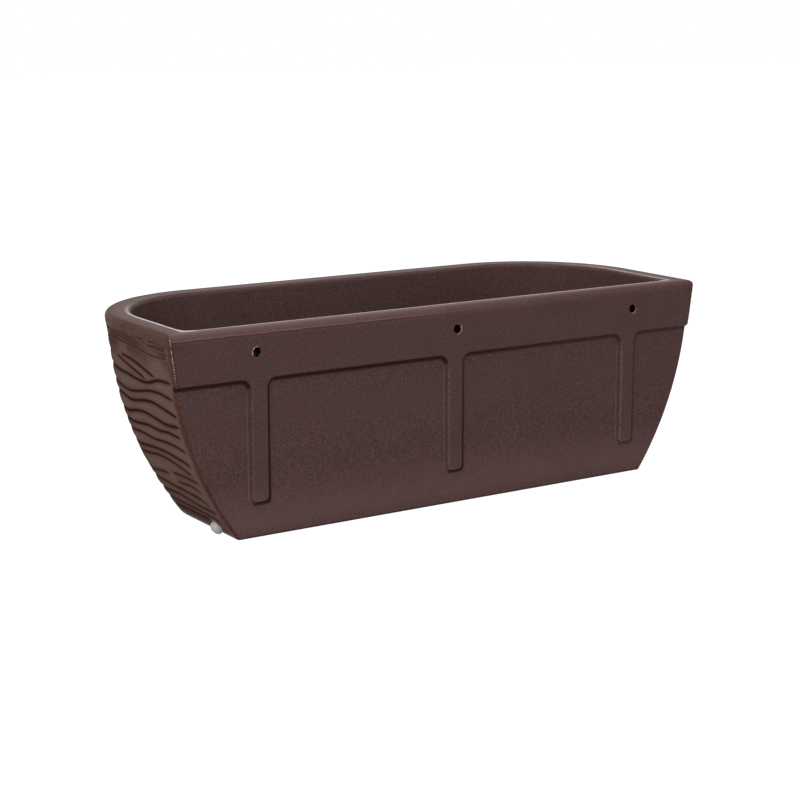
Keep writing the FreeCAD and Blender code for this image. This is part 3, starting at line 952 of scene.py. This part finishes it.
print("material helpers ready")

# %% [markdown]
# ## The body
#
# The moulded skin is matt and even. A plain rough shader would do from the front, but
# dark plastic seen at a low angle turns grey with the reflection of white
# surroundings, which this grained skin doesn't. So its own gloss is kept very low,
# and a thin coat is laid only on the rim, where hands have polished it.

# %% Plain moulded plastic of the body
# each tint: the mark it lies on, its share there and its colour
# under the speckle, the lighter foot and top of the back are painted light and sheen; over it, the
# crease, shade and bore tints are painted shade, the rim edge's pale tint is a painted highlight,
# and the worn tint is partly painted highlight on the ribs
UNDER_SPECKLE = [("Foot_painted_light", 0.8, BROWN_LIGHT), ("Rim", 1.0, RUBBED),
                 ("Top", 0.85, BROWN_LIGHT), ("Corner", 0.95, RUBBED)]
OVER_SPECKLE = [("Crease_shade", 0.9, PAINTED_SHADE_BROWN), ("Shade", 0.4, PAINTED_SHADE_BROWN), ("Worn_and_highlight", 0.6, WEAR_AND_HIGHLIGHT_PALE),
                ("Edge_highlight", 0.64, EDGE_HIGHLIGHT_PALE), ("Chip", 0.7, SCRAPED), ("Bore_shade", 1.0, BORE_SHADE_DARK)]
RIM_COAT, EDGE_COAT = 0.13, 0.85

plastic, tree, shader = new_material("moulded_brown_plastic")
speckle_node = use_group(tree, speckle_group)
marks_node = use_group(tree, marks)
colour = mix_colour(tree, marks_node.outputs["Wall"], BROWN, CARVED)
colour = tinted(tree, colour, marks_node, UNDER_SPECKLE)
colour = speckled(tree, colour, speckle_node)
colour = tinted(tree, colour, marks_node, OVER_SPECKLE)
roughness = ramp(tree, speckle_node.outputs["Speckle"], 0.0, 1.0, 0.46, 0.56)
coat = calc(tree, "ADD", calc(tree, "MULTIPLY", marks_node.outputs["Sheen"], RIM_COAT),
            calc(tree, "MULTIPLY", marks_node.outputs["Edge_highlight"], EDGE_COAT))
wire(tree, shader, {
    "Base Color": colour, "Normal": speckle_node.outputs["Normal"], "Roughness": roughness,
    "Coat Weight": coat, "Coat Roughness": 0.3, "Specular IOR Level": 0.03})
dress(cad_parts["planter_body"], plastic)
print("body nodes", len(tree.nodes))

# %% [markdown]
# ## The carved walls
#
# The carved faces are drier and greyer than the back, with reddish troughs, nearly
# black grooves and rubbed rows under the rim. The colour could be guessed from the
# height of the surface, but the mesh already knows how deep each point lies in a
# groove or a trough, so two attributes made with the sheets drive it.

# %% Carved plastic
RUBBED_ROWS = (178.0 * MM, 206.0 * MM)  # height over which the rows grow rubbed
DIM_FOOT = (30.0 * MM, 120.0 * MM)  # the grooves are paler below this

carved, tree, shader = new_material("carved_brown_plastic")
speckle_node = use_group(tree, speckle_group)
marks_node = use_group(tree, marks)
groove = add_node(tree, "ShaderNodeAttribute", attribute_name="groove").outputs["Fac"]
trough = add_node(tree, "ShaderNodeAttribute", attribute_name="trough").outputs["Fac"]
split = add_node(tree, "ShaderNodeSeparateXYZ")
plug_in(tree, add_node(tree, "ShaderNodeTexCoord").outputs["Object"], split.inputs[0])
high_up = ramp(tree, split.outputs[2], *RUBBED_ROWS)
patches = ramp(tree, speckle_node.outputs["Cloud"], 0.32, 0.6, 0.25, 0.8)
colour = mix_colour(tree, calc(tree, "MULTIPLY", high_up, patches), CARVED, RUBBED)
colour = tinted(tree, colour, marks_node, [("Corner", 0.95, RUBBED)])
colour = speckled(tree, colour, speckle_node, 0.8)
colour = mix_colour(tree, ramp(tree, trough, 0.15, 0.9, 0.0, 0.7), colour, TROUGH_BROWN)
dark = calc(tree, "MULTIPLY", ramp(tree, groove, 0.2, 0.75, 0.0, 0.9),
            ramp(tree, high_up, 0.0, 1.0, 1.0, 0.8))
dark = calc(tree, "MULTIPLY", dark, ramp(tree, split.outputs[2], *DIM_FOOT, 0.72, 1.0))
colour = mix_colour(tree, dark, colour, GROOVE_BROWN)
lip = calc(tree, "MULTIPLY", ramp(tree, groove, 0.10, 0.24),
           ramp(tree, groove, 0.30, 0.50, 1.0, 0.0))
lip = calc(tree, "MULTIPLY", lip, ramp(tree, high_up, 0.3, 1.0, 0.0, 0.2))
colour = mix_colour(tree, lip, colour, WEAR_AND_HIGHLIGHT_PALE)
wire(tree, shader, {
    "Base Color": colour, "Normal": speckle_node.outputs["Normal"],
    "Roughness": ramp(tree, groove, 0.05, 0.4, 0.6, 0.95), "Specular IOR Level": 0.0})
for sheet in ripples:
    sheet.data.materials.append(carved)
print("carved nodes", len(tree.nodes))

# %% [markdown]
# ## Torn edges and rubber
#
# Where this plastic is torn or drilled it turns pale and dry, so the parting lines
# and burrs get their own lighter mix of the same speckle. The plug is soft grey
# rubber with a little dust on it: one noise for the dust, a finer one for its skin.

# %% Scraped plastic of the parting lines and burrs
scraped, tree, shader = new_material("scraped_plastic")
speckle_node = use_group(tree, speckle_group)
torn = ramp(tree, speckle_node.outputs["Speckle"], 0.3, 0.9, 0.0, 0.7)
wire(tree, shader, {
    "Base Color": mix_colour(tree, torn, BROWN_LIGHT, SCRAPED),
    "Normal": speckle_node.outputs["Normal"], "Roughness": 0.7, "Specular IOR Level": 0.1})
for piece in parting_lines + burrs:
    piece.data.materials.append(scraped)
print("scraped pieces", len(parting_lines + burrs))

# %% Pale rubber of the plug
DUST_SCALE, SKIN_SCALE = 300.0, 1400.0

rubber, tree, shader = new_material("pale_rubber")
place = add_node(tree, "ShaderNodeTexCoord").outputs["Object"]
dust = ramp(tree, rough_noise(tree, place, DUST_SCALE, 4.0, 0.6), 0.4, 0.75, 0.0, 0.35)
wire(tree, shader, {
    "Base Color": mix_colour(tree, dust, RUBBER, RUBBER_DUSTY), "Roughness": 0.55,
    "Normal": bumped(tree, rough_noise(tree, place, SKIN_SCALE), 0.2, 0.3 * MM)})
dress(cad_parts["drain_plug"], rubber)
print("materials", [material.name for material in bpy.data.materials])

# %% [markdown]
# ## Floor, light and camera
#
# The photograph is a cut-out on white. A bright enough lamp would whiten a floor but
# also wash out the object, so the floor and the world show plain white only to the
# camera, in gloss and through glass, while the object's own light stays at a plain
# level.

# %% White floor
FLOOR_HALF = 12.0  # metres
FLOOR_LIT, FLOOR_SEEN = (0.72, 0.72, 0.72), (0.32, 0.32, 0.32)
FLOOR_GLOW = 0.93


def seen_share(tree):
    """1 for rays that the eye, gloss or glass would follow, else 0."""
    path = add_node(tree, "ShaderNodeLightPath")
    seen = calc(tree, "MAXIMUM", path.outputs["Is Camera Ray"], path.outputs["Is Glossy Ray"])
    return calc(tree, "MAXIMUM", seen, path.outputs["Is Transmission Ray"])


bm = bmesh.new()
bmesh.ops.create_grid(bm, x_segments=1, y_segments=1, size=FLOOR_HALF)
floor = new_piece("floor", bm)

floor_white = bpy.data.materials.new("floor_white")
floor_white.use_nodes = True
tree = floor_white.node_tree
tree.nodes.clear()
seen = seen_share(tree)
matt = add_node(tree, "ShaderNodeBsdfDiffuse")
wire(tree, matt, {"Color": mix_colour(tree, seen, FLOOR_LIT, FLOOR_SEEN)})
glow = add_node(tree, "ShaderNodeEmission")
wire(tree, glow, {"Strength": calc(tree, "MULTIPLY", seen, FLOOR_GLOW)})
both = add_node(tree, "ShaderNodeAddShader")
plug_in(tree, matt.outputs[0], both.inputs[0])
plug_in(tree, glow.outputs[0], both.inputs[1])
plug_in(tree, both.outputs[0], add_node(tree, "ShaderNodeOutputMaterial").inputs["Surface"])
floor.data.materials.append(floor_white)
print("floor", 2.0 * FLOOR_HALF, "m square")

# %% World
SKY_LIT, SKY_SEEN = 0.34, 1.0

world = bpy.data.worlds.new("studio")
bpy.context.scene.world = world
world.use_nodes = True
tree = world.node_tree
tree.nodes.clear()
sky = add_node(tree, "ShaderNodeBackground")
brightness = ramp(tree, seen_share(tree), 0.0, 1.0, SKY_LIT, SKY_SEEN)
wire(tree, sky, {"Color": (1.0, 1.0, 1.0), "Strength": brightness})
plug_in(tree, sky.outputs[0], add_node(tree, "ShaderNodeOutputWorld").inputs["Surface"])
print("sky gives", SKY_LIT, "and shows", SKY_SEEN)

# %% [markdown]
# The photograph has no hard shadow on the object, so the lights are broad discs: one
# overhead that brightens the rim, one from the left of the camera that shapes the
# ribs, and a weak fill that keeps the far end from going black.

# %% Soft lights
AIM = (0.0, 0.0, 0.1)
# each light: its name, place and width in metres, and watts
LIGHTS = [
    ("overhead", (0.2, 0.1, 2.2), 2.0, 27.0),
    ("key", (2.2, 1.5, 1.4), 1.1, 26.0),
    ("fill", (-0.9, 2.4, 0.9), 1.6, 9.0),
]

for name, place, size, watts in LIGHTS:
    lamp = bpy.data.lights.new(name, "AREA")
    lamp.shape = "DISK"
    lamp.size = size
    lamp.energy = watts
    light = bpy.data.objects.new(name, lamp)
    bpy.context.collection.objects.link(light)
    light.location = place
    light.rotation_euler = (Vector(AIM) - Vector(place)).to_track_quat("-Z", "Y").to_euler()

# %% [markdown]
# The camera stands where the photograph was taken from: its place, turn and lens were
# worked out from the planter's own corners, holes and ribs, so that the render lies
# over the photograph. Standard view keeps white white.

# %% Camera
CAMERA_PLACE = (1.17176, 1.79213, 0.56065)
CAMERA_TURN = (77.7528, -0.0951, 146.4908)  # degrees
SENSOR_MM, LENS_MM = 36.0, 82.66

scene = bpy.context.scene
lens = bpy.data.cameras.new("camera")
lens.sensor_width = SENSOR_MM
lens.lens = LENS_MM
camera = bpy.data.objects.new("camera", lens)
bpy.context.collection.objects.link(camera)
camera.location = CAMERA_PLACE
camera.rotation_euler = [math.radians(angle) for angle in CAMERA_TURN]
scene.camera = camera
scene.view_settings.view_transform = "Standard"
print("camera", [round(c, 2) for c in camera.location], "lens", LENS_MM, "mm")
